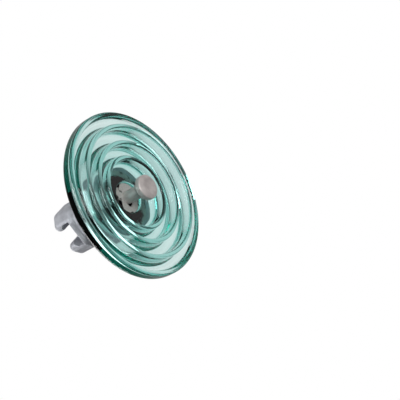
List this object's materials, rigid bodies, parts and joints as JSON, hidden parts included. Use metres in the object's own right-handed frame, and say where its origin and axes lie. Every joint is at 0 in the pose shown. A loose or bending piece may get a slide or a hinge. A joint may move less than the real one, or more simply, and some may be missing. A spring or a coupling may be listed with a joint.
{
  "type": "cap and pin suspension insulator",
  "caption": "Toughened glass disc insulator with ribbed underside, bell cap with a slotted ball socket, and a ball-ended pin.",
  "frame": {"origin": "where the ball of the unit above bears in the cap's socket, on the insulator's axis", "axes": "+Z along the insulator's axis, up through the cap; the socket's slot opens towards -Y"},
  "size_m": [0.28, 0.28, 0.1755],
  "materials": {
    "glass": "pressed toughened glass, green",
    "cap_zinc": "hot-dip galvanised",
    "pin_zinc": "hot-dip galvanised forging",
    "cement": "cast cement",
    "cushion": "bitumen cushion",
    "clip_steel": "drawn stainless wire"
  },
  "bodies": {
    "unit": {"glass_shell": "glass", "cap": "cap_zinc", "cap_cement": "cement", "head_cushion": "cushion", "pin": "pin_zinc", "pin_cement": "cement", "pin_cushion": "cushion"},
    "clip": {"locking_clip": "clip_steel"}
  },
  "joints": [
    {"name": "clip_slide", "type": "slide", "parent": "unit", "child": "clip", "axis": [0, 1, 0], "range_m": [0, 0.014]}
  ]
}
